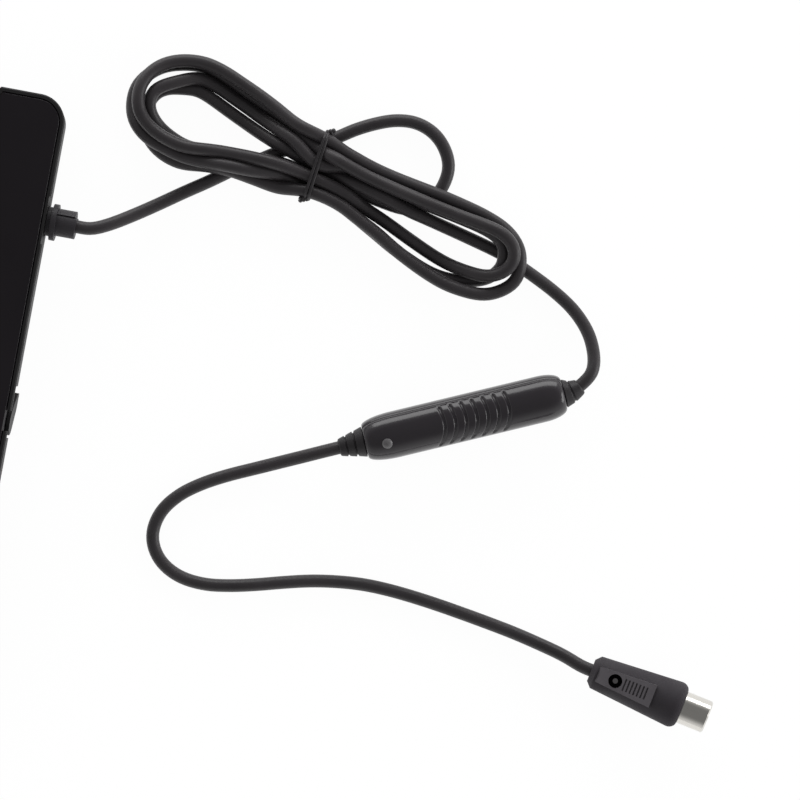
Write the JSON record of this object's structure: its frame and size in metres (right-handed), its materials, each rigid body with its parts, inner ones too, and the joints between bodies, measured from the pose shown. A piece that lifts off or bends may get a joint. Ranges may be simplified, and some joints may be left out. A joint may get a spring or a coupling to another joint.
{
  "type": "indoor tv antenna",
  "caption": "Flat black indoor TV antenna panel with a folding stand, a bundled coaxial lead, an in-line amplifier and an aerial plug.",
  "frame": {"origin": "middle of the panel in plan, on the surface that the rubber feet stand on", "axes": "+Z out of the panel's front face, +X towards the side that the lead leaves, +Y towards the edge that the panel stands on in use"},
  "size_m": [0.4418, 0.206, 0.015],
  "materials": {
    "case_front": "satin black moulded plastic",
    "case_rear": "fine textured black moulded plastic",
    "stand_plastic": "fine textured black moulded plastic",
    "soft_rubber": "matte black rubber",
    "screw_steel": "zinc plated",
    "tinned_steel": "dull tinned sheet",
    "board": "green solder mask",
    "lead_jacket": "soft black PVC with a faint sheen",
    "soft_mould": "soft black moulding",
    "gland_nylon": "black nylon",
    "amp_gloss": "polished black plastic",
    "lamp_lens": "milky clear lens, unlit",
    "plug_black": "satin black moulding",
    "jack_grey": "satin dark grey plastic",
    "nickel": "bright nickel plate",
    "pin_brass": "plated brass",
    "insulator_white": "natural insulating plastic",
    "tie_black": "black plastic over wire"
  },
  "bodies": {
    "panel": {"front_cover": "case_front", "rear_cover": "case_rear", "cover_screws": "screw_steel", "rubber_feet": "soft_rubber", "antenna_element": "tinned_steel", "feed_board": "board", "shield_can": "tinned_steel", "board_screws": "screw_steel", "inner_coax": "lead_jacket", "gland_body": "gland_nylon", "gland_grip": "gland_nylon", "lead_near": "lead_jacket", "lead_loop": "lead_jacket", "lead_hank": "lead_jacket", "lead_far": "lead_jacket", "twist_tie": "tie_black", "amp_upper_case": "amp_gloss", "amp_lower_case": "amp_gloss", "amp_board": "board", "amp_lamp": "lamp_lens", "boot_in": "soft_mould", "boot_out": "soft_mould", "lead_plug": "lead_jacket", "plug_body": "plug_black", "jack_cover": "jack_grey", "jack_pin": "nickel", "plug_sleeve": "nickel", "plug_insulator": "insulator_white", "plug_pin": "pin_brass"},
    "stand": {"stand_frame": "stand_plastic", "stand_pad": "soft_rubber"}
  },
  "joints": [
    {"name": "stand_fold", "type": "hinge", "parent": "panel", "child": "stand", "pos_m": [0, 0, 0.008], "axis": [-1, 0, 0], "range_deg": [0, 60]}
  ]
}
